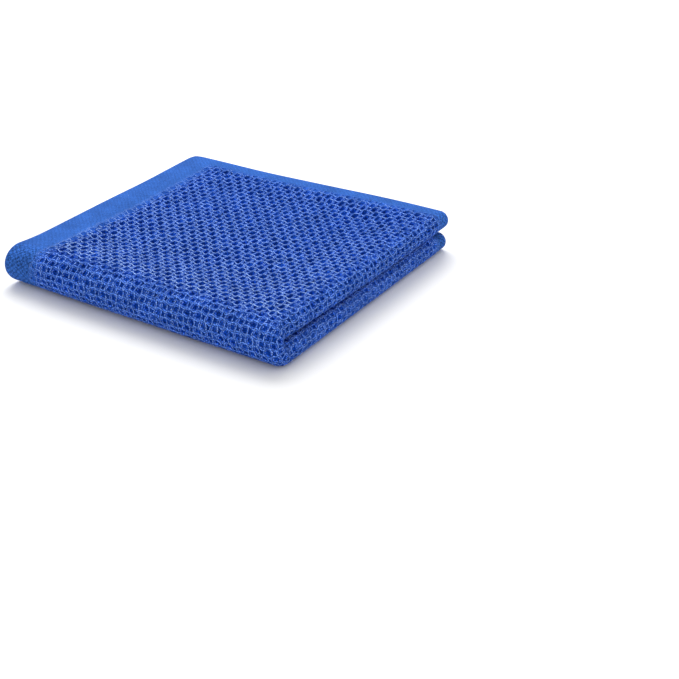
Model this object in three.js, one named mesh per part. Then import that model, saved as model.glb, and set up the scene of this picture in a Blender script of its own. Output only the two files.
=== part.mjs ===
// A dishcloth: one square of honeycomb-woven cotton with plain-woven borders and turned hems.
// It lies folded in quarters: in half over a fold at +X, then in half again over a fold at -Y.
// The first fold shows at +X as two rolled arms, the second at -Y as one roll of all four layers.
// The open hems end at -X and at +Y. Millimetres, +Z up, origin under the middle of the folded cloth.
import * as THREE from 'three';

// The cloth laid flat
const SIDE = 305;
const HALF = SIDE / 2;
const WAFFLE_THICK = 3.4;
const HEM_THICK = 2.2;
const WIDE_BORDER = 18.5;
const NARROW_BORDER = 7.5;
const BORDER_STEP = 2;
const CORNER_ROUND = 6;
const CORNER_STEPS = [0, 0.25, 0.55, 1];
const RIM_BULGE = 0.5;

// The first fold, at +X. A crease that is off the middle leaves one layer of a pair longer.
const ARM_RADIUS = 3.4;
const ARM_TURN = (Math.PI / 2) * ARM_RADIUS;
const ARM_X = 75.3;
const ARM_CREASE = 1.6;

// The second fold, at -Y
const ROLL_Y = -68.4;
const ROLL_RADIUS = 8.8;
const ROLL_TURN = (Math.PI / 2) * ROLL_RADIUS;
const ROLL_CREASE = -0.8;

// Where the open hems end
const LEFT_X = ARM_X + ARM_TURN - HALF;
const BACK_Y = ROLL_Y + HALF - ROLL_TURN;

// Middle to middle of two neighbouring layers, in the middle of the cloth, at the arms, at the roll
// and at the open hems, and how far each opening at the hems rises and falls along them, with the
// waves of each opening a little behind those of the one below it
const SPACING = [
  { layers: 'bottom and second', middle: 4.8, arm: 6.8, roll: 4.8, hem: 5.0, wave: 0.35 },
  { layers: 'second and third', middle: 4.4, arm: 4.0, roll: 8.0, hem: 4.9, wave: 0.4 },
  { layers: 'third and top', middle: 4.8, arm: 6.8, roll: 4.8, hem: 5.3, wave: 0.4 },
];
const HEM_REACH = 30;
const HEM_WAVE = 57;
const WAVE_SHIFT = 2;

// How far in from each fold its height is felt: in the middle of the cloth, and along the open hems
const ARM_REACH = { middle: 34, hem: 130 };
const ROLL_REACH = { middle: 36, hem: 125 };

// How far each arm is drawn in at the roll, and how its side bows from there to the back
const UPPER_ARM = { drawnIn: 4.3, bow: 1.7 };
const LOWER_ARM = { drawnIn: 1.9, bow: 1 };

// How far the folded cloth is from square, as slopes
const FRONT_SLOPE = -0.022;
const INNER_SKEW = 0.012;
const LOWER_SKEW = 0.008;

// The wide border stands out where it goes round the roll
const FLARE = 4.5;
const FLARE_REACH = 17;

// Steps of the mesh: where each stretch ends, measured in from an edge, and how many steps it takes
const MIDDLE_STEPS = 9;
const NEAR_FOLD_STEPS = 4;
const NEAR_FOLD = 28;
const ARM_STEPS = 10;
const ROLL_STEPS = 14;
const SLOPE_STEP = 0.05;

const cloth = new THREE.MeshStandardMaterial({ color: 0x3a64c8, roughness: 0.95, metalness: 0 });

// Rises smoothly from 0 at from to 1 at to
function ease(value, from, to) {
  return THREE.MathUtils.smoothstep((value - from) / (to - from), 0, 1);
}

// Thickness of the cloth at a point of the flat square
function thickness(a, b) {
  const wide = ease(HALF - Math.abs(a), WIDE_BORDER, WIDE_BORDER + BORDER_STEP);
  const narrow = ease(HALF - Math.abs(b), NARROW_BORDER, NARROW_BORDER + BORDER_STEP);
  return HEM_THICK + (WAFFLE_THICK - HEM_THICK) * Math.min(wide, narrow);
}

// Draws the corners of the flat square in to a round
function roundCorner(a, b) {
  const straight = HALF - CORNER_ROUND;
  const p = Math.max(0, Math.abs(a) - straight) / CORNER_ROUND;
  const q = Math.max(0, Math.abs(b) - straight) / CORNER_ROUND;
  const da = CORNER_ROUND * p * (1 - Math.sqrt(1 - (q * q) / 2));
  const db = CORNER_ROUND * q * (1 - Math.sqrt(1 - (p * p) / 2));
  return [a - Math.sign(a) * da, b - Math.sign(b) * db];
}

// Heights of the middles of the four layers over a point of the table
function layerHeights(x, y, thick) {
  const hemX = ease(-x, -LEFT_X - HEM_REACH, -LEFT_X);
  const hemY = ease(y, BACK_Y - HEM_REACH, BACK_Y);
  const armReach = THREE.MathUtils.lerp(ARM_REACH.middle, ARM_REACH.hem, hemY);
  const rollReach = THREE.MathUtils.lerp(ROLL_REACH.middle, ROLL_REACH.hem, hemX);
  const arm = ease(x, ARM_X - armReach, ARM_X);
  const roll = ease(-y, -ROLL_Y - rollReach, -ROLL_Y);
  const open = Math.max(hemX, hemY) * (1 - arm) * (1 - roll);
  const heights = [thick / 2];
  SPACING.forEach((gap, index) => {
    const ripple = gap.wave * Math.sin(((x - y) * 2 * Math.PI) / HEM_WAVE + WAVE_SHIFT * index);
    const folded = gap.middle + (gap.arm - gap.middle) * arm + (gap.roll - gap.middle) * roll * (1 - arm);
    heights.push(heights[index] + folded + (gap.hem - gap.middle + ripple) * open);
  });
  return heights;
}

// Middle of the cloth's thickness at a point of the flat square, after both folds.
// a runs from the outer layer's open hem over the first fold to the inner layer's,
// b from the lower pair's open hem over the second fold to the upper pair's.
function middle(a, b) {
  const [ra, rb] = roundCorner(a, b);
  const along = ra - ARM_CREASE;
  const over = rb - ROLL_CREASE;
  const turn = THREE.MathUtils.clamp(along / ARM_RADIUS, -Math.PI / 2, Math.PI / 2);
  const lean = THREE.MathUtils.clamp(over / ROLL_RADIUS, -Math.PI / 2, Math.PI / 2);
  const straightX = Math.max(0, Math.abs(along) - ARM_TURN);
  const straightY = Math.max(0, Math.abs(over) - ROLL_TURN);
  const inner = (1 + Math.sin(turn)) / 2;
  const x = ARM_X - straightX + ARM_RADIUS * Math.cos(turn);
  const heights = layerHeights(Math.min(x, ARM_X), ROLL_Y + straightY, thickness(a, b));
  const low = heights[0] + (heights[1] - heights[0]) * inner;
  const high = heights[3] - (heights[3] - heights[2]) * inner;
  const radius = (high - low) / 2;
  const y = ROLL_Y + straightY - radius * Math.cos(lean);
  const z = (low + high) / 2 + radius * Math.sin(lean);
  return uneven(new THREE.Vector3(x, y, z), over, inner);
}

// Turns the neat square a little out of true, as hands leave it
function uneven(point, over, inner) {
  const left = (ARM_X - point.x) / (ARM_X - LEFT_X);
  const front = (BACK_Y - point.y) / (BACK_Y - ROLL_Y);
  const upper = ease(over, -ROLL_TURN, ROLL_TURN);
  const lowerSide = LOWER_ARM.drawnIn * Math.max(0, front) ** LOWER_ARM.bow;
  const upperSide = UPPER_ARM.drawnIn * Math.max(0, front) ** UPPER_ARM.bow;
  const drawnIn = THREE.MathUtils.lerp(lowerSide, upperSide, upper);
  const flare = FLARE * left ** 3 * Math.exp(-((over / FLARE_REACH) ** 2));
  const skew = (INNER_SKEW * inner - LOWER_SKEW * (1 - upper)) * left;
  return new THREE.Vector3(
    point.x - drawnIn * (1 - left) - flare + skew * (point.y - ROLL_Y),
    point.y + FRONT_SLOPE * point.x * front - skew * (ARM_X - point.x),
    point.z,
  );
}

// Outward normal of the outer face, from the two slopes of the folded sheet
function normal(a, b) {
  const da = middle(a + SLOPE_STEP, b).sub(middle(a - SLOPE_STEP, b));
  const db = middle(a, b + SLOPE_STEP).sub(middle(a, b - SLOPE_STEP));
  return da.cross(db).normalize();
}

// Even steps over one stretch, without its last point
function stretch(from, to, steps) {
  return Array.from({ length: steps }, (_, i) => from + ((to - from) * i) / steps);
}

// Mesh lines across the flat square: close at the hem, the border's edge and the fold
function stations(border, turn, turnSteps, crease) {
  const corner = CORNER_STEPS.map((share) => share * CORNER_ROUND);
  const edge = [...corner, border].map((inward) => inward - HALF);
  const start = border + BORDER_STEP - HALF;
  const before = crease - turn - NEAR_FOLD;
  const after = crease + turn + NEAR_FOLD;
  return [
    ...edge,
    ...stretch(start, before, MIDDLE_STEPS),
    ...stretch(before, crease - turn, NEAR_FOLD_STEPS),
    ...stretch(crease - turn, crease + turn, turnSteps),
    ...stretch(crease + turn, after, NEAR_FOLD_STEPS),
    ...stretch(after, -start, MIDDLE_STEPS),
    -start,
    ...edge.map((station) => -station).reverse(),
  ];
}

// The folded sheet as one closed mesh: two faces and a rounded rim
function foldedCloth() {
  const as = stations(WIDE_BORDER, ARM_TURN, ARM_STEPS, ARM_CREASE);
  const bs = stations(NARROW_BORDER, ROLL_TURN, ROLL_STEPS, ROLL_CREASE);
  const positions = [];
  const indices = [];
  const add = (p) => positions.push(p.x, p.y, p.z) / 3 - 1;
  const quad = (p, q, r, s) => indices.push(p, q, r, p, r, s);
  const face = (side) => as.map((a) => bs.map((b) => {
    return add(middle(a, b).addScaledVector(normal(a, b), (side * thickness(a, b)) / 2));
  }));
  const outer = face(1);
  const inner = face(-1);
  for (let i = 0; i + 1 < as.length; i += 1) {
    for (let j = 0; j + 1 < bs.length; j += 1) {
      quad(outer[i][j], outer[i + 1][j], outer[i + 1][j + 1], outer[i][j + 1]);
      quad(inner[i][j], inner[i][j + 1], inner[i + 1][j + 1], inner[i + 1][j]);
    }
  }
  const lastA = as.length - 1;
  const lastB = bs.length - 1;
  const loop = [
    ...as.slice(0, -1).map((_, i) => [i, 0]),
    ...bs.slice(0, -1).map((_, j) => [lastA, j]),
    ...as.slice(1).map((_, i) => [lastA - i, lastB]),
    ...bs.slice(1).map((_, j) => [0, lastB - j]),
  ];
  const rim = loop.map(([i, j]) => {
    const inwardA = Math.sign(as[i]) * (i === 0 || i === lastA ? 1 : 0);
    const inwardB = Math.sign(bs[j]) * (j === 0 || j === lastB ? 1 : 0);
    const edge = middle(as[i], bs[j]);
    const inside = middle(as[i] - inwardA, bs[j] - inwardB);
    return add(edge.clone().add(edge.clone().sub(inside).setLength(RIM_BULGE)));
  });
  loop.forEach(([i, j], k) => {
    const next = (k + 1) % loop.length;
    const [ni, nj] = loop[next];
    quad(rim[k], rim[next], outer[ni][nj], outer[i][j]);
    quad(inner[i][j], inner[ni][nj], rim[next], rim[k]);
  });
  const geometry = new THREE.BufferGeometry();
  geometry.setAttribute('position', new THREE.Float32BufferAttribute(positions, 3));
  geometry.setIndex(indices);
  return geometry;
}

const geometry = foldedCloth();
geometry.computeBoundingBox();
const box = geometry.boundingBox;
const centre = box.getCenter(new THREE.Vector3());
geometry.translate(-centre.x, -centre.y, -box.min.z);

const mesh = new THREE.Mesh(geometry, cloth);
mesh.name = 'cloth';
const dishcloth = new THREE.Group();
dishcloth.add(mesh);

export default dishcloth;
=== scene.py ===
"""A dishcloth of honeycomb-woven cotton, folded in quarters: its weave, borders, light and camera."""

import math

import bpy
import numpy as np
from mathutils import Matrix, Vector


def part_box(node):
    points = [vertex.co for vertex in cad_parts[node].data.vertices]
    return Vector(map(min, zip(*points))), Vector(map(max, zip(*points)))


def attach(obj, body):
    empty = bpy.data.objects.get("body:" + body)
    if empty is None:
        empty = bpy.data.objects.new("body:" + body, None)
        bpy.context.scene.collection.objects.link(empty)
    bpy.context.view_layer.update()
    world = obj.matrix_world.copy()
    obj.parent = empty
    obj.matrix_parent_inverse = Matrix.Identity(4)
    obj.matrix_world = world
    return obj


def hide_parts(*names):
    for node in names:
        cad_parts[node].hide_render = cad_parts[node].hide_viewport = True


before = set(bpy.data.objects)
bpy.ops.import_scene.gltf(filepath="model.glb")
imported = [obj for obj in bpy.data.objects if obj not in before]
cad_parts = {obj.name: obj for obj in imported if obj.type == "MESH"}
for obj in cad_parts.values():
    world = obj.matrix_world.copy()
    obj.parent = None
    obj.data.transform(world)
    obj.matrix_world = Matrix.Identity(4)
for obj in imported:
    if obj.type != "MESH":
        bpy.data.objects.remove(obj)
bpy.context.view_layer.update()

# Millimetres, as in the folded solid. The meshes are made in metres.
METRE = 1000.0

# The cloth laid flat
SIDE = 305.0
HALF = SIDE / 2
WAFFLE_THICK = 3.4
HEM_THICK = 2.2
WIDE_BORDER = 18.5
NARROW_BORDER = 7.5
BORDER_STEP = 2.0
CORNER_ROUND = 6.0

# The first fold, at +X
ARM_RADIUS = 3.4
ARM_TURN = math.pi / 2 * ARM_RADIUS
ARM_X = 75.3
ARM_CREASE = 1.6

# The second fold, at -Y
ROLL_Y = -68.4
ROLL_RADIUS = 8.8
ROLL_TURN = math.pi / 2 * ROLL_RADIUS
ROLL_CREASE = -0.8

# Where the open hems end
LEFT_X = ARM_X + ARM_TURN - HALF
BACK_Y = ROLL_Y + HALF - ROLL_TURN

# Middle to middle of two neighbouring layers: in the middle of the cloth, at the arms, at the roll and
# at the open hems, and how far each opening at the hems rises and falls along them
SPACING = [
    {"middle": 4.8, "arm": 6.8, "roll": 4.8, "hem": 5.0, "wave": 0.35},
    {"middle": 4.4, "arm": 4.0, "roll": 8.0, "hem": 4.9, "wave": 0.4},
    {"middle": 4.8, "arm": 6.8, "roll": 4.8, "hem": 5.3, "wave": 0.4},
]
FOLDED_HEIGHT = 21.0
HEM_REACH = 30.0
HEM_WAVE = 57.0
WAVE_SHIFT = 2.0
ARM_REACH = {"middle": 34.0, "hem": 130.0}
ROLL_REACH = {"middle": 36.0, "hem": 125.0}

# How far each arm is drawn in at the roll, and how far the folded cloth is from square
UPPER_ARM = {"drawn_in": 4.3, "bow": 1.7}
LOWER_ARM = {"drawn_in": 1.9, "bow": 1.0}
FRONT_SLOPE = -0.022
INNER_SKEW = 0.012
LOWER_SKEW = 0.008
FLARE = 4.5
FLARE_REACH = 17.0

# The weave: a grid of ridges with a deep pit and a small hole in turn between them.
# Columns of cells run across a and rows across b, both counted from one ridge of the grid.
CELL_A = 3.15
CELL_B = 3.6
GRID_A = -80.6
GRID_B = 79.6
FIRST_COLUMN = -18
LAST_COLUMN = 70
FIRST_ROW = -64
LAST_ROW = 18

# The outer face keeps its length where it goes round a fold, so more cells lie there
ARM_SPARE = 0.5
ROLL_SPARE = 0.19

# Each ridge gives way to the deep pits beside it, which closes up the small holes, and slants and waves
# as it runs from one crossing to the next
SHIFT_A = {"swell": 0.52, "slant": 0.14, "wave": -0.1}
SHIFT_B = {"swell": 0.46, "slant": -0.22, "wave": 0.2}

# How deep the pits are, and how far from the ridges their walls start and end. They are shallower on the
# inner face and on the underside. The first cells past a border are shallow and take up its colour.
DEEP = 1.6
DEEP_TOP = {"side": 0.42, "front": 0.42}
DEEP_FOOT = 1.1
SHALLOW = 1.3
SHALLOW_WALL = (0.36, 0.8)
BACK_DEPTH = 0.35
PRESSED_DEPTH = 0.55
PRESSED_CELLS = 3
FIRST_DEPTH = 0.45
FIRST_COLOUR = 0.45
FIRST_CELLS = 1.8
LOW_RIDGE = 0.12
KNIT = 9.0
FLOOR_KNOT = {"height": 0.25, "start": 0.62}

# How far into the border, in cells, the grid's unevenness and the relief die out
UNEVEN_REACH = 0.8
RELIEF_REACH = 0.3

# Where the cloth goes round a fold it is drawn taut: walls start later and slope more, holes close up.
# It is so over these shares of each fold's own turn.
TAUT_ARM = (1.0, 2.4)
TAUT_ROLL = (0.8, 1.6)
TAUT_TOP = {"side": 0.04, "front": 0.22}
TAUT_FOOT = 0.75
TAUT_HOLE = 0.35

# How unlike each other the cells are, how far their lines wander, and how uneven the top layers lie
CELL_SPREAD = 0.4
KNOT_SHIFT = 0.42
WANDER = 0.45
WANDER_LENGTH = 37.0
SWAY = 0.35
SWAY_LENGTH = 42.0

# Starts of the random draws, and how many there are in each direction before they come round again
SEEDS = {"knot_a": 11, "knot_b": 12, "wander_a": 13, "wander_b": 14, "depth": 15, "sway": 16}
DRAWS = 256

# Step for slopes, in millimetres, and points across the sheet for its box
SLOPE_STEP = 0.05
BOX_POINTS = 400

# Mesh lines across one cell, from ridge to ridge, and how often the plain borders are cut
FINE = (0.0, 0.14, 0.21, 0.3, 0.5, 0.7, 0.79, 0.86)
MEDIUM = (0.0, 0.16, 0.33, 0.5, 0.67, 0.84)
COARSE = (0.0, 0.25, 0.5, 0.75)
HIDDEN = (0.0, 0.3, 0.7)
BORDER_CUT = 1.1
EDGE_CUTS = (0.0, 0.12, 0.4, 0.9, 1.6)
EDGE_ROUND = 1.5
EDGE_LEFT = 0.22

# The cloth is meshed in strips, each from one column of the grid to another, or to an open hem (None).
# The outer ones have fine pits on the face that shows, down to this row on the underside.
UNDERSIDE = -27
STRIPS = [
    {"name": "cloth_open_hem", "columns": (None, -5), "face": FINE, "underside": COARSE, "back": COARSE},
    {"name": "cloth_near_hem", "columns": (-5, 6), "face": FINE, "underside": COARSE, "back": HIDDEN},
    {"name": "cloth_near_fold", "columns": (6, 16), "face": FINE, "underside": COARSE, "back": HIDDEN},
    {"name": "cloth_first_fold", "columns": (16, 30), "face": FINE, "underside": MEDIUM, "back": COARSE},
    {"name": "cloth_inner_middle", "columns": (30, 50), "face": HIDDEN, "underside": HIDDEN, "back": HIDDEN},
    {"name": "cloth_inner_hem", "columns": (50, None), "face": COARSE, "underside": COARSE, "back": COARSE},
]

# Yarns and fibres, in millimetres
STRAND = 0.92
STRAND_HEIGHT = 0.2
STRAND_WANDER = 0.3
TWIST = 0.62
PEBBLE = 2.5
PEBBLE_HEIGHT = 0.4
PEBBLE_SHAKE = 3.0
FIBRE = 0.55
FIBRE_HEIGHT = 0.08
PATCH = 11.0

# Random values to a millimetre, for yarns that lie loose, crests that break and pebbles that are shaken
LOOSE_YARN = 1.1
LOOSE_RANGE = (0.2, 0.8)
BROKEN_CREST = 1.6
SHAKEN_PEBBLE = 0.9

# The dark gap at a cell's corner: its width in cells, its shade, and the depths between which it shows
CORNER_GAP = 0.06
CORNER_SHADE = 0.25
CORNER_DEPTH = (0.2, 0.6)

# Colours, as linear red, green and blue: the cotton's dye and border, painted shade for pit walls, pit
# floors and grooves, painted highlights for the crests, and how deep in the pits the painted shade starts
DEEP_SHADE_COLOUR = (0.0030, 0.0550, 0.4300)
WALL_SHADE_COLOUR = (0.0200, 0.0950, 0.5300)
DYE_RIDGE = (0.0780, 0.2050, 0.7400)
CREST_HIGHLIGHT = (0.5500, 0.7500, 1.0000)
TAUT_CREST_HIGHLIGHT = (0.4400, 0.6200, 1.0000)
GROOVE_SHADE_COLOUR = (0.0060, 0.0500, 0.3300)
DYE_BORDER = (0.0290, 0.1130, 0.4300)
WALL_START = 0.22
DEEP_START = 0.6
COTTON_ROUGHNESS = 0.85
COTTON_SHINE = 0.05

# How strongly each pattern shows. Four numbers take a value from the first two to the last two.
TWIST_LEAN = 0.8
TWIST_SHADE = 0.2
FLAT_PEBBLE = 0.4
# The groove and strand values paint shade in the grooves between strands and light on their round tops
GROOVE_SHADE = (0.0, 0.7, 0.1, 1.0)
STRAND_SHADE = (0.3, 1.0, 0.8, 1.6)
FIBRE_SHADE = {"flat": (0.35, 0.65, 0.65, 1.35), "fold": (0.35, 0.65, 0.25, 1.85)}
# How strongly the painted shade in the pits darkens, at the back, at the front and on the folds
PIT_SHADE = {"back": 0.95, "front": 1.2, "fold": 1.3}
# The crest values shape the painted highlight on the ridge tops: how deep it reaches, how thin and broken
# its lines are, which ridges get more, and how much brighter it is towards the front
CREST_DEPTH = {"flat": (0.02, 0.4, 1.0, 0.0), "fold": (0.1, 0.9, 1.0, 0.0)}
CREST_SHARP = {"back": 7.5, "front": 3.6, "fold": 6.0}
CREST_FIBRE = (0.35, 0.6, 0.3, 1.5)
CREST_BREAKS = (0.4, 0.62, 0.1, 1.9)
CREST_SIDES = {"flat": (0.0, 1.0, 1.1, 1.6), "fold": (0.0, 1.0, 1.6, 0.5)}
CREST_BRIGHT = {"back": 0.9, "front": 1.35}
FOLD_SHADE = 0.92
PEBBLE_SHADE = {"flat": (0.0, 1.0, 0.8, 1.18), "fold": (0.0, 1.0, 0.38, 1.6)}
PEBBLE_FIBRE = (0.3, 0.7, 0.72, 1.28)
PATCH_SHADE = (0.3, 0.7, 0.86, 1.14)

# The studio, in metres and watts
FLOOR_SIZE = 6.0
FLOOR_TONE = 0.9
FLOOR_ROUGHNESS = 0.9
SKY_LIGHT = 0.85
WINDOW = {"place": (-0.5, 0.6, 0.9), "size": 0.9, "power": 13.0}

# The camera, in millimetres for its lens, degrees for its turns and metres for its place
LENS = 85.48
SENSOR = 36.0
AZIMUTH = 30.80
ELEVATION = 28.50
TILT = 0.574
CAMERA_PLACE = (0.4041, -0.57415, 0.34168)


def ease(value, start, end):
    """Rises smoothly from 0 at start to 1 at end."""
    share = np.clip((value - start) / (end - start), 0.0, 1.0)
    return share * share * (3 - 2 * share)


def blend(low, high, share):
    """A value between two others."""
    return low + (high - low) * share


def thickness(a, b):
    """Thickness of the cloth at a point of the flat square."""
    wide = ease(HALF - np.abs(a), WIDE_BORDER, WIDE_BORDER + BORDER_STEP)
    narrow = ease(HALF - np.abs(b), NARROW_BORDER, NARROW_BORDER + BORDER_STEP)
    return blend(HEM_THICK, WAFFLE_THICK, np.minimum(wide, narrow))


def round_corner(a, b):
    """Draws the corners of the flat square in to a round."""
    straight = HALF - CORNER_ROUND
    p = np.maximum(0, np.abs(a) - straight) / CORNER_ROUND
    q = np.maximum(0, np.abs(b) - straight) / CORNER_ROUND
    in_a = CORNER_ROUND * p * (1 - np.sqrt(1 - q * q / 2))
    in_b = CORNER_ROUND * q * (1 - np.sqrt(1 - p * p / 2))
    return a - np.sign(a) * in_a, b - np.sign(b) * in_b


def layer_heights(x, y, thick):
    """Heights of the middles of the four layers over a point of the table."""
    hem_x = ease(-x, -LEFT_X - HEM_REACH, -LEFT_X)
    hem_y = ease(y, BACK_Y - HEM_REACH, BACK_Y)
    arm_reach = blend(ARM_REACH["middle"], ARM_REACH["hem"], hem_y)
    roll_reach = blend(ROLL_REACH["middle"], ROLL_REACH["hem"], hem_x)
    arm = ease(x, ARM_X - arm_reach, ARM_X)
    roll = ease(-y, -ROLL_Y - roll_reach, -ROLL_Y)
    loose = np.maximum(hem_x, hem_y) * (1 - arm) * (1 - roll)
    heights = [thick / 2]
    for index, gap in enumerate(SPACING):
        ripple = gap["wave"] * np.sin((x - y) * 2 * math.pi / HEM_WAVE + WAVE_SHIFT * index)
        folded = (
            gap["middle"]
            + (gap["arm"] - gap["middle"]) * arm
            + (gap["roll"] - gap["middle"]) * roll * (1 - arm)
        )
        heights.append(heights[-1] + folded + (gap["hem"] - gap["middle"] + ripple) * loose)
    return heights


def uneven(x, y, z, over, inner):
    """Turns the neat square a little out of true, as hands leave it."""
    left = (ARM_X - x) / (ARM_X - LEFT_X)
    front = (BACK_Y - y) / (BACK_Y - ROLL_Y)
    upper = ease(over, -ROLL_TURN, ROLL_TURN)
    lower_side = LOWER_ARM["drawn_in"] * np.maximum(0, front) ** LOWER_ARM["bow"]
    upper_side = UPPER_ARM["drawn_in"] * np.maximum(0, front) ** UPPER_ARM["bow"]
    drawn_in = blend(lower_side, upper_side, upper)
    flare = FLARE * left**3 * np.exp(-((over / FLARE_REACH) ** 2))
    skew = (INNER_SKEW * inner - LOWER_SKEW * (1 - upper)) * left
    out_x = x - drawn_in * (1 - left) - flare + skew * (y - ROLL_Y)
    out_y = y + FRONT_SLOPE * x * front - skew * (ARM_X - x)
    return np.stack([out_x, out_y, z], axis=-1)


def middle(a, b):
    """Middle of the cloth's thickness at points of the flat square, after both folds.

    a runs from the outer layer's open hem over the first fold to the inner layer's,
    b from the lower pair's open hem over the second fold to the upper pair's.
    """
    rounded_a, rounded_b = round_corner(a, b)
    along = rounded_a - ARM_CREASE
    over = rounded_b - ROLL_CREASE
    turn = np.clip(along / ARM_RADIUS, -math.pi / 2, math.pi / 2)
    lean = np.clip(over / ROLL_RADIUS, -math.pi / 2, math.pi / 2)
    straight_x = np.maximum(0, np.abs(along) - ARM_TURN)
    straight_y = np.maximum(0, np.abs(over) - ROLL_TURN)
    inner = (1 + np.sin(turn)) / 2
    x = ARM_X - straight_x + ARM_RADIUS * np.cos(turn)
    heights = layer_heights(np.minimum(x, ARM_X), ROLL_Y + straight_y, thickness(a, b))
    low = blend(heights[0], heights[1], inner)
    high = blend(heights[3], heights[2], inner)
    radius = (high - low) / 2
    y = ROLL_Y + straight_y - radius * np.cos(lean)
    z = (low + high) / 2 + radius * np.sin(lean)
    return uneven(x, y, z, over, inner)


def normal(a, b):
    """Outward normal of the outer face, from the two slopes of the folded sheet."""
    across = middle(a + SLOPE_STEP, b) - middle(a - SLOPE_STEP, b)
    along = middle(a, b + SLOPE_STEP) - middle(a, b - SLOPE_STEP)
    out = np.cross(across, along)
    return out / np.linalg.norm(out, axis=-1, keepdims=True)


def smooth_noise(u, v, seed):
    """Random values from -1 to 1 on the whole numbers, joined smoothly between them."""
    table = np.random.default_rng(seed).uniform(-1, 1, (DRAWS, DRAWS))
    i = np.floor(u).astype(int)
    j = np.floor(v).astype(int)
    p = ease(u - i, 0, 1)
    q = ease(v - j, 0, 1)
    low = blend(table[i % DRAWS, j % DRAWS], table[(i + 1) % DRAWS, j % DRAWS], p)
    high = blend(table[i % DRAWS, (j + 1) % DRAWS], table[(i + 1) % DRAWS, (j + 1) % DRAWS], p)
    return blend(low, high, q)


def cell_noise(i, j, seed):
    """One random value from -1 to 1 for each cell of the grid."""
    table = np.random.default_rng(seed).uniform(-1, 1, (DRAWS, DRAWS))
    return table[i % DRAWS, j % DRAWS]


def past_border(u, v):
    """How many cells a place lies past the waffle's first or last ridge, less than 0 in the border."""
    across = np.minimum(u - FIRST_COLUMN, LAST_COLUMN - u)
    along = np.minimum(v - FIRST_ROW, LAST_ROW - v)
    return np.minimum(across, along)


def in_waffle(u, v, reach):
    """1 where the waffle is woven, falling to 0 within reach cells outside it."""
    return ease(past_border(u, v), -reach, 0)


def round_fold(place, crease, turn, spare, keep):
    """Place across a fold on the flat cloth. The side that keep names keeps its places."""
    centre = crease - keep * spare * turn
    away = place - centre
    bent = away / (1 + spare)
    straight = away - np.sign(away) * spare * turn
    return crease + np.where(np.abs(away) < (1 + spare) * turn, bent, straight)


def taut(u, v):
    """1 where the cloth goes round a fold, falling to 0 on its flat parts."""
    arm = np.abs(u - (ARM_CREASE + ARM_SPARE * ARM_TURN - GRID_A) / CELL_A) * CELL_A / ARM_TURN
    roll = np.abs(v - (ROLL_CREASE - ROLL_SPARE * ROLL_TURN - GRID_B) / CELL_B) * CELL_B / ROLL_TURN
    return np.maximum(1 - ease(arm, *TAUT_ARM), 1 - ease(roll, *TAUT_ROLL))


def ridge_shift(along, shift):
    """How far a ridge gives way at a place along it, in cells, which turns over with every ridge."""
    return shift["swell"] * np.sin(math.pi * along) + shift["slant"] * np.cos(math.pi * along)


def flat_place(u, v, side):
    """Where a point of the grid lies on the flat cloth, on the outer face (1) or the inner one (-1)."""
    woven = in_waffle(u, v, UNEVEN_REACH)
    shift_a = SHIFT_A["wave"] * np.sin(2 * math.pi * v) - np.cos(math.pi * u) * ridge_shift(v, SHIFT_A)
    shift_b = SHIFT_B["wave"] * np.sin(2 * math.pi * u) - np.cos(math.pi * v) * ridge_shift(u, SHIFT_B)
    knot_a = KNOT_SHIFT * smooth_noise(u, v, SEEDS["knot_a"])
    knot_b = KNOT_SHIFT * smooth_noise(u, v, SEEDS["knot_b"])
    a = GRID_A + CELL_A * u
    b = GRID_B + CELL_B * v
    wander_a = WANDER * smooth_noise(a / WANDER_LENGTH, b / WANDER_LENGTH, SEEDS["wander_a"])
    wander_b = WANDER * smooth_noise(a / WANDER_LENGTH, b / WANDER_LENGTH, SEEDS["wander_b"])
    a = a + woven * (side * shift_a + knot_a + wander_a)
    b = b + woven * (side * shift_b + knot_b + wander_b)
    a = round_fold(a, ARM_CREASE, ARM_TURN, ARM_SPARE, -1)
    b = round_fold(b, ROLL_CREASE, ROLL_TURN, ROLL_SPARE, 1)
    return a, b


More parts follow.
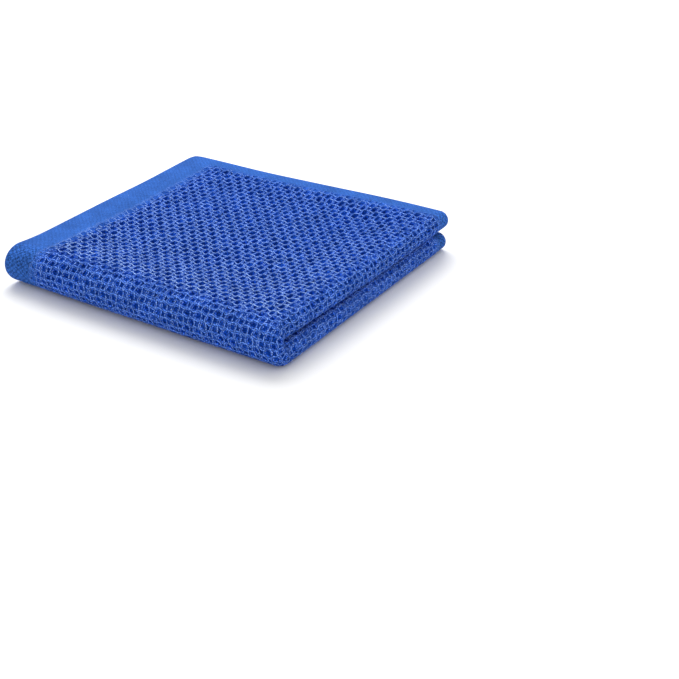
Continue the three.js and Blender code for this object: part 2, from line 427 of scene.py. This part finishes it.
def relief(u, v, side):
    """The weave at points of the grid, on the outer face (1) or the inner one (-1).

    Distances in millimetres from the ridges at the side and in front and down from the cloth's face, how
    much of the waffle's colour shows, and how taut the cloth is.
    """
    i = np.floor(u).astype(int)
    j = np.floor(v).astype(int)
    p = np.minimum(u - i, i + 1 - u)
    q = np.minimum(v - j, j + 1 - v)
    deep = (i + j) % 2 == (0 if side > 0 else 1)
    pull = taut(u, v)
    shift_a = side * (1 - 2 * (i % 2)) * ridge_shift(v, SHIFT_A)
    shift_b = side * (1 - 2 * (j % 2)) * ridge_shift(u, SHIFT_B)
    from_side = CELL_A * p + shift_a * (1 - np.cos(math.pi * p))
    from_front = CELL_B * q + shift_b * (1 - np.cos(math.pi * q))
    depth = np.where(deep, DEEP, SHALLOW) * (1 + CELL_SPREAD * cell_noise(i, j, SEEDS["depth"]))
    pressed = blend(PRESSED_DEPTH, 1, ease(v, UNDERSIDE - PRESSED_CELLS, UNDERSIDE))
    depth = depth * (pressed if side > 0 else BACK_DEPTH)
    depth = depth * np.where(deep, 1, 1 - TAUT_HOLE * pull)
    settled = ease(past_border(u, v), 0, FIRST_CELLS)
    depth = depth * blend(FIRST_DEPTH, 1, settled)
    side_top = np.where(deep, DEEP_TOP["side"] + TAUT_TOP["side"] * pull, SHALLOW_WALL[0])
    front_top = np.where(deep, DEEP_TOP["front"] + TAUT_TOP["front"] * pull, SHALLOW_WALL[0])
    foot = np.where(deep, DEEP_FOOT + TAUT_FOOT * pull, SHALLOW_WALL[1])
    front_wall = depth * ease(from_front, front_top, foot)
    side_wall = LOW_RIDGE + (depth - LOW_RIDGE) * ease(from_side, side_top, foot)
    down = -np.logaddexp(-KNIT * front_wall, -KNIT * side_wall) / KNIT
    centre = ease(2 * np.minimum(p, q), FLOOR_KNOT["start"], 1.0) * deep
    down = np.maximum(down - FLOOR_KNOT["height"] * centre, 0)
    woven = (i >= FIRST_COLUMN) & (i < LAST_COLUMN) & (j >= FIRST_ROW) & (j < LAST_ROW)
    inside = in_waffle(u, v, RELIEF_REACH) * woven
    return from_side, from_front, down * inside, inside * blend(FIRST_COLOUR, 1, settled), pull


def cell_lines(first, last, cuts):
    """Mesh lines from one ridge up to another, counted in cells."""
    return [cell + cut for cell in range(first, last) for cut in cuts]


def border_lines(width):
    """Mesh lines across one plain border, in millimetres in from the hem."""
    count = max(2, round((width - EDGE_CUTS[-1]) / BORDER_CUT))
    inward = [EDGE_CUTS[-1] + (width - EDGE_CUTS[-1]) * k / count for k in range(1, count)]
    return list(EDGE_CUTS) + inward


def lines_a(start, end, cuts):
    """Mesh lines across a, from one ridge to another. None stands for an open hem."""
    first = FIRST_COLUMN if start is None else start
    last = LAST_COLUMN if end is None else end
    lines = cell_lines(first, last, cuts) + [last]
    if start is None:
        hem = -HALF
        border = border_lines(GRID_A + CELL_A * FIRST_COLUMN - hem)
        lines = [(hem + d - GRID_A) / CELL_A for d in border] + lines
    if end is None:
        hem = HALF + 2 * ARM_SPARE * ARM_TURN
        border = border_lines(hem - GRID_A - CELL_A * LAST_COLUMN)
        lines = lines + [(hem - d - GRID_A) / CELL_A for d in reversed(border)]
    return np.array(lines, dtype=float)


def lines_b(under_cuts, cuts):
    """Mesh lines across b, from the lower pair's hem to the upper pair's."""
    lines = cell_lines(FIRST_ROW, UNDERSIDE, under_cuts) + cell_lines(UNDERSIDE, LAST_ROW, cuts)
    low_hem = -HALF - 2 * ROLL_SPARE * ROLL_TURN
    low_border = border_lines(GRID_B + CELL_B * FIRST_ROW - low_hem)
    high_border = border_lines(HALF - GRID_B - CELL_B * LAST_ROW)
    before = [(low_hem + d - GRID_B) / CELL_B for d in low_border]
    after = [(HALF - d - GRID_B) / CELL_B for d in reversed(high_border)]
    return np.array(before + lines + [LAST_ROW] + after)


def edge_share(a, b):
    """Thins the cloth to a rounded edge at its hems."""
    inward = HALF - np.maximum(np.abs(a), np.abs(b))
    share = np.clip(inward / EDGE_ROUND, 0, 1)
    return blend(EDGE_LEFT, 1, np.sqrt(1 - (1 - share) ** 2))


def face_points(u, v, side):
    """Points of one face of the cloth, in millimetres, with the weave's distances at each."""
    a, b = flat_place(u, v, side)
    from_side, from_front, down, inside, pull = relief(u, v, side)
    thick = thickness(a, b)
    centre = middle(a, b)
    height = np.clip((centre[..., 2] - WAFFLE_THICK / 2) / FOLDED_HEIGHT, 0, 1)
    sway = smooth_noise(centre[..., 0] / SWAY_LENGTH, centre[..., 1] / SWAY_LENGTH, SEEDS["sway"])
    centre[..., 2] += SWAY * height * sway
    half = thick / 2 * edge_share(a, b) - down * thick / WAFFLE_THICK
    points = centre + normal(a, b) * (side * half)[..., None]
    return points, np.stack([from_side, from_front, down], axis=-1), np.stack([inside, pull], axis=-1)


def face(us, vs, side):
    """One face of the cloth as a grid of points, with the normal and the weave's values at each."""
    wide_us = np.concatenate([[2 * us[0] - us[1]], us, [2 * us[-1] - us[-2]]])
    wide_vs = np.concatenate([[2 * vs[0] - vs[1]], vs, [2 * vs[-1] - vs[-2]]])
    u, v = np.meshgrid(wide_us, wide_vs, indexing="ij")
    points, ridges, masks = face_points(u, v, side)
    across = points[2:, 1:-1] - points[:-2, 1:-1]
    along = points[1:-1, 2:] - points[1:-1, :-2]
    outward = np.cross(across, along) * side
    outward /= np.linalg.norm(outward, axis=-1, keepdims=True)
    cells = np.stack([u + (0 if side > 0 else 1), v], axis=-1)
    kept = (slice(1, -1), slice(1, -1))
    return points[kept], outward, ridges[kept], masks[kept], cells[kept]


def grid_faces(rows, columns, offset, side):
    """Quads of one face, facing out of the cloth."""
    index = offset + np.arange(rows * columns).reshape(rows, columns)
    corners = [index[:-1, :-1], index[1:, :-1], index[1:, 1:], index[:-1, 1:]]
    if side < 0:
        corners = corners[::-1]
    return np.stack([c.ravel() for c in corners], axis=1), index


def zip_lines(first, second, first_at, second_at):
    """Triangles that join two lines of points, which run side by side with steps of their own."""
    faces = []
    i = j = 0
    while i < len(first) - 1 or j < len(second) - 1:
        first_ends = i == len(first) - 1
        second_ends = j == len(second) - 1
        if second_ends or (not first_ends and first_at[i + 1] <= second_at[j + 1]):
            faces.append((first[i], second[j], first[i + 1]))
            i += 1
        else:
            faces.append((first[i], second[j], second[j + 1]))
            j += 1
    return faces


def strip(row, shift):
    """One strip of the cloth from the lower pair's hem to the upper pair's, closed all round."""
    outer_us = lines_a(*row["columns"], row["face"])
    outer_vs = lines_b(row["underside"], row["face"])
    inner_us = lines_a(*row["columns"], row["back"])
    inner_vs = lines_b(row["back"], row["back"])
    outer = face(outer_us, outer_vs, 1)
    inner = face(inner_us, inner_vs, -1)
    outer_quads, outer_index = grid_faces(len(outer_us), len(outer_vs), 0, 1)
    inner_quads, inner_index = grid_faces(len(inner_us), len(inner_vs), outer_index.size, -1)
    walls = zip_lines(outer_index[:, 0], inner_index[:, 0], outer_us, inner_us)
    walls += zip_lines(inner_index[:, -1], outer_index[:, -1], inner_us, outer_us)
    walls += zip_lines(inner_index[0], outer_index[0], inner_vs, outer_vs)
    walls += zip_lines(outer_index[-1], inner_index[-1], outer_vs, inner_vs)
    points, normals, ridges, masks, cells = [
        np.concatenate([one.reshape(outer_index.size, -1), other.reshape(inner_index.size, -1)])
        for one, other in zip(outer, inner)
    ]
    quads = np.concatenate([outer_quads, inner_quads])
    mesh = closed_mesh(row["name"], (points + shift) / METRE, quads, np.array(walls))
    mesh.normals_split_custom_set_from_vertices(normals)
    weave = mesh.attributes.new("weave", "FLOAT_VECTOR", "POINT")
    weave.data.foreach_set("vector", ridges.astype(np.float32).ravel())
    for column, name in enumerate(["waffle", "taut"]):
        mask = mesh.attributes.new(name, "FLOAT", "POINT")
        mask.data.foreach_set("value", masks[:, column].astype(np.float32))
    grid = mesh.uv_layers.new(name="cells")
    corners = np.zeros(len(mesh.loops), dtype=np.int32)
    mesh.loops.foreach_get("vertex_index", corners)
    grid.data.foreach_set("uv", cells[corners].astype(np.float32).ravel())
    piece = bpy.data.objects.new(row["name"], mesh)
    bpy.context.scene.collection.objects.link(piece)
    return piece


def closed_mesh(name, points, quads, triangles):
    """A smooth mesh of quads and triangles."""
    corners = np.concatenate([quads.ravel(), triangles.ravel()])
    starts = np.concatenate([np.arange(len(quads)) * 4, quads.size + np.arange(len(triangles)) * 3])
    mesh = bpy.data.meshes.new(name)
    mesh.vertices.add(len(points))
    mesh.vertices.foreach_set("co", points.astype(np.float32).ravel())
    mesh.loops.add(len(corners))
    mesh.loops.foreach_set("vertex_index", corners.astype(np.int32))
    mesh.polygons.add(len(starts))
    mesh.polygons.foreach_set("loop_start", starts.astype(np.int32))
    mesh.update(calc_edges=True)
    mesh.polygons.foreach_set("use_smooth", np.ones(len(starts), dtype=bool))
    return mesh


def sheet_shift():
    """How far the folded sheet is moved so that it stands where the solid does, on the table."""
    steps = np.linspace(-HALF, HALF, BOX_POINTS)
    a, b = np.meshgrid(steps, steps)
    face = middle(a, b) + normal(a, b) * (thickness(a, b) / 2)[..., None]
    low, high = (np.array(corner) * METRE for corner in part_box("cloth"))
    own_low = face.reshape(-1, 3).min(0)
    own_high = face.reshape(-1, 3).max(0)
    across = (low + high - own_low - own_high)[:2] / 2
    return np.append(across, low[2] - own_low[2])


def add_node(tree, kind, wires, **settings):
    """A node with its settings, and each input either wired to a socket or set to a value."""
    made = tree.nodes.new(kind)
    for name, value in settings.items():
        setattr(made, name, value)
    for slot, value in wires.items():
        if isinstance(value, bpy.types.NodeSocket):
            tree.links.new(value, made.inputs[slot])
        else:
            made.inputs[slot].default_value = value
    return made


def maths(tree, operation, *values):
    """The result of one sum on sockets or numbers."""
    return add_node(tree, "ShaderNodeMath", dict(enumerate(values)), operation=operation).outputs[0]


def times(tree, first, second):
    """The product of two numbers."""
    return maths(tree, "MULTIPLY", first, second)


def mixed(tree, low, high, share):
    """A number between two others."""
    return add_node(tree, "ShaderNodeMix", {0: share, 2: low, 3: high}).outputs[0]


def mixed_colour(tree, low, high, share):
    """A colour between two others."""
    wires = {0: share, 6: low, 7: high}
    return add_node(tree, "ShaderNodeMix", wires, data_type="RGBA").outputs[2]


def shaded(tree, colour, shade):
    """A colour made darker or brighter by a number."""
    wires = {0: 1.0, 6: colour, 7: shade}
    return add_node(tree, "ShaderNodeMix", wires, data_type="RGBA", blend_type="MULTIPLY").outputs[2]


def spread(tree, value, low, high, to_low=0.0, to_high=1.0):
    """A value moved from one range to another, and kept inside it."""
    wires = {0: value, 1: low, 2: high, 3: to_low, 4: to_high}
    return add_node(tree, "ShaderNodeMapRange", wires).outputs[0]


def noise(tree, place, scale, detail):
    """Soft random values and colours over the cloth."""
    wires = {"Vector": place, "Scale": scale, "Detail": detail}
    return add_node(tree, "ShaderNodeTexNoise", wires).outputs


def parts(tree, vector):
    """The values of a vector along X, Y and Z."""
    return add_node(tree, "ShaderNodeSeparateXYZ", {0: vector}).outputs


def new_group(name, takes, gives):
    """An empty node group, with the sockets that it takes and gives."""
    tree = bpy.data.node_groups.new(name, "ShaderNodeTree")
    for label, kind in takes.items():
        tree.interface.new_socket(label, in_out="INPUT", socket_type=kind)
    for label, kind in gives.items():
        tree.interface.new_socket(label, in_out="OUTPUT", socket_type=kind)
    return tree, tree.nodes.new("NodeGroupInput").outputs, tree.nodes.new("NodeGroupOutput").inputs


def strands_group():
    """Floating yarns side by side down the walls of each cell: their height and which way they run."""
    takes = {
        "Cells": "NodeSocketVector",
        "Place": "NodeSocketVector",
        "Weave": "NodeSocketVector",
        "Taut": "NodeSocketFloat",
    }
    gives = {"Strand": "NodeSocketFloat", "In Front": "NodeSocketFloat"}
    tree, given, out = new_group("strands", takes, gives)
    cells = parts(tree, given["Cells"])
    place = parts(tree, given["Place"])
    weave = parts(tree, given["Weave"])
    at_side = maths(tree, "PINGPONG", cells["X"], 0.5)
    in_front = maths(tree, "PINGPONG", cells["Y"], 0.5)
    runs = maths(tree, "LESS_THAN", in_front, at_side)
    loose = noise(tree, given["Place"], LOOSE_YARN, 1.0)[0]
    nearest = mixed(tree, weave["X"], weave["Y"], runs)
    nearest = maths(tree, "ADD", nearest, spread(tree, loose, *LOOSE_RANGE, -STRAND_WANDER, STRAND_WANDER))
    turn = 2 * math.pi / STRAND
    start = mixed(tree, math.pi, 0.0, maths(tree, "MAXIMUM", runs, given["Taut"]))
    wave = maths(tree, "COSINE", maths(tree, "MULTIPLY_ADD", nearest, turn, start))
    round_top = maths(tree, "MULTIPLY_ADD", wave, 0.5, 0.5)
    lengthwise = mixed(tree, place["Y"], place["X"], runs)
    slant = times(tree, nearest, TWIST_LEAN * turn)
    twist = maths(tree, "SINE", maths(tree, "MULTIPLY_ADD", lengthwise, 2 * math.pi / TWIST, slant))
    plied = times(tree, round_top, maths(tree, "MULTIPLY_ADD", twist, TWIST_SHADE, 1 - TWIST_SHADE))
    apart = maths(tree, "ABSOLUTE", maths(tree, "SUBTRACT", in_front, at_side))
    corner = spread(tree, apart, 0.0, CORNER_GAP, CORNER_SHADE, 1.0)
    on_ridge = spread(tree, weave["Z"], *CORNER_DEPTH, 1.0, 0.0)
    tree.links.new(times(tree, plied, maths(tree, "MAXIMUM", corner, on_ridge)), out["Strand"])
    tree.links.new(runs, out["In Front"])
    return tree


def plain_weave_group():
    """Knots of the plain-woven border, over and under in turn."""
    takes = {"Place": "NodeSocketVector"}
    tree, given, out = new_group("plain_weave", takes, {"Knot": "NodeSocketFloat"})
    place = parts(tree, given["Place"])
    turn = 2 * math.pi / PEBBLE
    across = maths(tree, "SINE", times(tree, place["X"], turn))
    along = maths(tree, "SINE", times(tree, place["Y"], turn))
    tree.links.new(maths(tree, "MULTIPLY_ADD", times(tree, across, along), 0.5, 0.5), out["Knot"])
    return tree


def cloth_values(tree):
    """What the cotton's patterns read: their place on the flat cloth, the weave there, and loose fibres."""
    cells = add_node(tree, "ShaderNodeUVMap", {}, uv_map="cells").outputs[0]
    wires = {0: cells, 1: (CELL_A, CELL_B, 1)}
    place = add_node(tree, "ShaderNodeVectorMath", wires, operation="MULTIPLY").outputs[0]
    weave = add_node(tree, "ShaderNodeAttribute", {}, attribute_name="weave").outputs["Vector"]
    return {
        "cells": cells,
        "row": parts(tree, cells)["Y"],
        "place": place,
        "weave": weave,
        "down": parts(tree, weave)["Z"],
        "waffle": add_node(tree, "ShaderNodeAttribute", {}, attribute_name="waffle").outputs["Fac"],
        "taut": add_node(tree, "ShaderNodeAttribute", {}, attribute_name="taut").outputs["Fac"],
        "fibre": noise(tree, place, 1 / FIBRE, 3.0)[0],
    }


def to_front(tree, cloth, ends):
    """A number that changes from the back of the folded cloth to its front."""
    return spread(tree, cloth["row"], LAST_ROW, -LAST_ROW, ends["back"], ends["front"])


def spread_apart(tree, cloth, value, ranges):
    """A value spread in one way on the flat cloth and in another on its folds."""
    flat = spread(tree, value, *ranges["flat"])
    return mixed(tree, flat, spread(tree, value, *ranges["fold"]), cloth["taut"])


def shaded_yarn_colour(tree, cloth, strand):
    """Colour of the yarns from the ridges down into the pits: painted shade darkening with depth and in the
    grooves, painted light on the strands, and fibre grain.
    """
    # Painted shade: the colour darkens with the depth of the pit, more towards the front and on the folds
    pit_darkening = mixed(tree, to_front(tree, cloth, PIT_SHADE), PIT_SHADE["fold"], cloth["taut"])
    depth = times(tree, spread(tree, cloth["down"], 0.0, DEEP), pit_darkening)
    ramp = add_node(tree, "ShaderNodeValToRGB", {0: depth})
    ramp.color_ramp.elements[0].color = (*DYE_RIDGE, 1)
    ramp.color_ramp.elements[1].color = (*DEEP_SHADE_COLOUR, 1)
    ramp.color_ramp.elements[1].position = DEEP_START
    ramp.color_ramp.elements.new(WALL_START).color = (*WALL_SHADE_COLOUR, 1)
    # Painted shade in the grooves between strands, and painted light and shade across each strand, times
    # fibre grain
    yarn = mixed_colour(tree, (*GROOVE_SHADE_COLOUR, 1), ramp.outputs[0], spread(tree, strand, *GROOVE_SHADE))
    fluff = spread_apart(tree, cloth, cloth["fibre"], FIBRE_SHADE)
    return shaded(tree, yarn, times(tree, spread(tree, strand, *STRAND_SHADE), fluff))


def crest_highlight_share(tree, cloth, strand, in_front):
    """How much painted highlight shows along the yarns on top of the ridges."""
    high = spread_apart(tree, cloth, cloth["down"], CREST_DEPTH)
    sharp = mixed(tree, to_front(tree, cloth, CREST_SHARP), CREST_SHARP["fold"], cloth["taut"])
    thread = times(tree, high, maths(tree, "POWER", strand, sharp))
    lit = times(tree, thread, spread(tree, cloth["fibre"], *CREST_FIBRE))
    on_flat = spread(tree, in_front, *CREST_SIDES["flat"])
    on_flat = times(tree, on_flat, to_front(tree, cloth, CREST_BRIGHT))
    breaks = noise(tree, cloth["place"], BROKEN_CREST, 2.0)[0]
    on_fold = spread(tree, in_front, *CREST_SIDES["fold"])
    on_fold = times(tree, on_fold, spread(tree, breaks, *CREST_BREAKS))
    return times(tree, lit, mixed(tree, on_flat, on_fold, cloth["taut"]))


def waffle_yarns(tree, cloth):
    """Colour and height of the waffle's yarns."""
    read = {"Cells": "cells", "Place": "place", "Weave": "weave", "Taut": "taut"}
    wires = {label: cloth[name] for label, name in read.items()}
    strands = add_node(tree, "ShaderNodeGroup", wires, node_tree=strands_group()).outputs
    yarn = shaded_yarn_colour(tree, cloth, strands["Strand"])
    # Painted highlight: pale lines along the yarns on the ridge tops
    paler = mixed_colour(tree, (*CREST_HIGHLIGHT, 1), (*TAUT_CREST_HIGHLIGHT, 1), cloth["taut"])
    crest = crest_highlight_share(tree, cloth, strands["Strand"], strands["In Front"])
    yarn = mixed_colour(tree, yarn, paler, crest)
    # Painted shade: the colour is darkened on the folds
    yarn = shaded(tree, yarn, spread(tree, cloth["taut"], 0.0, 1.0, 1.0, FOLD_SHADE))
    return yarn, times(tree, strands["Strand"], STRAND_HEIGHT)


def border_weave(tree, cloth):
    """Colour and height of the plain-woven border."""
    loose = noise(tree, cloth["place"], SHAKEN_PEBBLE, 1.0)["Color"]
    wires = {0: loose, 1: (PEBBLE_SHAKE, PEBBLE_SHAKE, 0), 2: cloth["place"]}
    shaken = add_node(tree, "ShaderNodeVectorMath", wires, operation="MULTIPLY_ADD").outputs[0]
    wires = {"Place": shaken}
    knot = add_node(tree, "ShaderNodeGroup", wires, node_tree=plain_weave_group()).outputs["Knot"]
    # Painted light and shade on the border's knots, stronger on the folds, times fibre grain
    pebbles = spread_apart(tree, cloth, knot, PEBBLE_SHADE)
    knot_shade_and_grain = times(tree, pebbles, spread(tree, cloth["fibre"], *PEBBLE_FIBRE))
    high = spread(tree, cloth["taut"], 0.0, 1.0, FLAT_PEBBLE * PEBBLE_HEIGHT, PEBBLE_HEIGHT)
    return shaded(tree, (*DYE_BORDER, 1), knot_shade_and_grain), times(tree, knot, high)


def waffle_cotton():
    """Dyed cotton, with painted shade dark in the pits and painted highlights paler on the ridges, with its
    yarns and loose fibres.
    """
    material = bpy.data.materials.new("waffle_cotton")
    material.use_nodes = True
    tree = material.node_tree
    shader = tree.nodes["Principled BSDF"]
    cloth = cloth_values(tree)
    yarn, yarn_height = waffle_yarns(tree, cloth)
    border, border_height = border_weave(tree, cloth)
    patch = noise(tree, cloth["place"], 1 / PATCH, 2.0)[0]
    colour = mixed_colour(tree, border, yarn, cloth["waffle"])
    colour = shaded(tree, colour, spread(tree, patch, *PATCH_SHADE))
    tree.links.new(colour, shader.inputs["Base Color"])
    height = mixed(tree, border_height, yarn_height, cloth["waffle"])
    height = maths(tree, "MULTIPLY_ADD", cloth["fibre"], FIBRE_HEIGHT, height)
    bump = add_node(tree, "ShaderNodeBump", {"Strength": 1.0, "Distance": 1 / METRE, "Height": height})
    tree.links.new(bump.outputs[0], shader.inputs["Normal"])
    shader.inputs["Roughness"].default_value = COTTON_ROUGHNESS
    shader.inputs["Specular IOR Level"].default_value = COTTON_SHINE
    return material


def studio():
    """A pale floor, a big soft light from behind on the left, and light all round."""
    bpy.ops.mesh.primitive_plane_add(size=FLOOR_SIZE)
    floor = bpy.context.object
    floor.name = "floor"
    material = bpy.data.materials.new("pale_floor")
    material.use_nodes = True
    shader = material.node_tree.nodes["Principled BSDF"]
    shader.inputs["Base Color"].default_value = (FLOOR_TONE, FLOOR_TONE, FLOOR_TONE, 1)
    shader.inputs["Roughness"].default_value = FLOOR_ROUGHNESS
    floor.data.materials.append(material)
    world = bpy.data.worlds.new("studio")
    bpy.context.scene.world = world
    world.use_nodes = True
    world.node_tree.nodes["Background"].inputs["Color"].default_value = (1, 1, 1, 1)
    world.node_tree.nodes["Background"].inputs["Strength"].default_value = SKY_LIGHT
    bpy.ops.object.light_add(type="AREA", location=WINDOW["place"])
    lamp = bpy.context.object
    lamp.name = "window"
    lamp.data.size = WINDOW["size"]
    lamp.data.energy = WINDOW["power"]
    aim = Vector((0, 0, 0)) - lamp.location
    lamp.rotation_euler = aim.to_track_quat("-Z", "Y").to_euler()


def camera():
    """The photograph's camera, solved from the even rows of the weave."""
    data = bpy.data.cameras.new("camera")
    data.lens = LENS
    data.sensor_width = SENSOR
    seen_from = bpy.data.objects.new("camera", data)
    bpy.context.scene.collection.objects.link(seen_from)
    turn = (
        Matrix.Rotation(math.radians(AZIMUTH), 4, "Z")
        @ Matrix.Rotation(math.pi / 2 - math.radians(ELEVATION), 4, "X")
        @ Matrix.Rotation(math.radians(TILT), 4, "Z")
    )
    seen_from.matrix_world = Matrix.Translation(CAMERA_PLACE) @ turn
    bpy.context.scene.camera = seen_from


camera()
studio()
bpy.context.scene.view_settings.view_transform = "Standard"
cotton = waffle_cotton()
shift = sheet_shift()
for row in STRIPS:
    piece = strip(row, shift)
    piece.data.materials.append(cotton)
    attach(piece, "root")
    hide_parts("cloth")
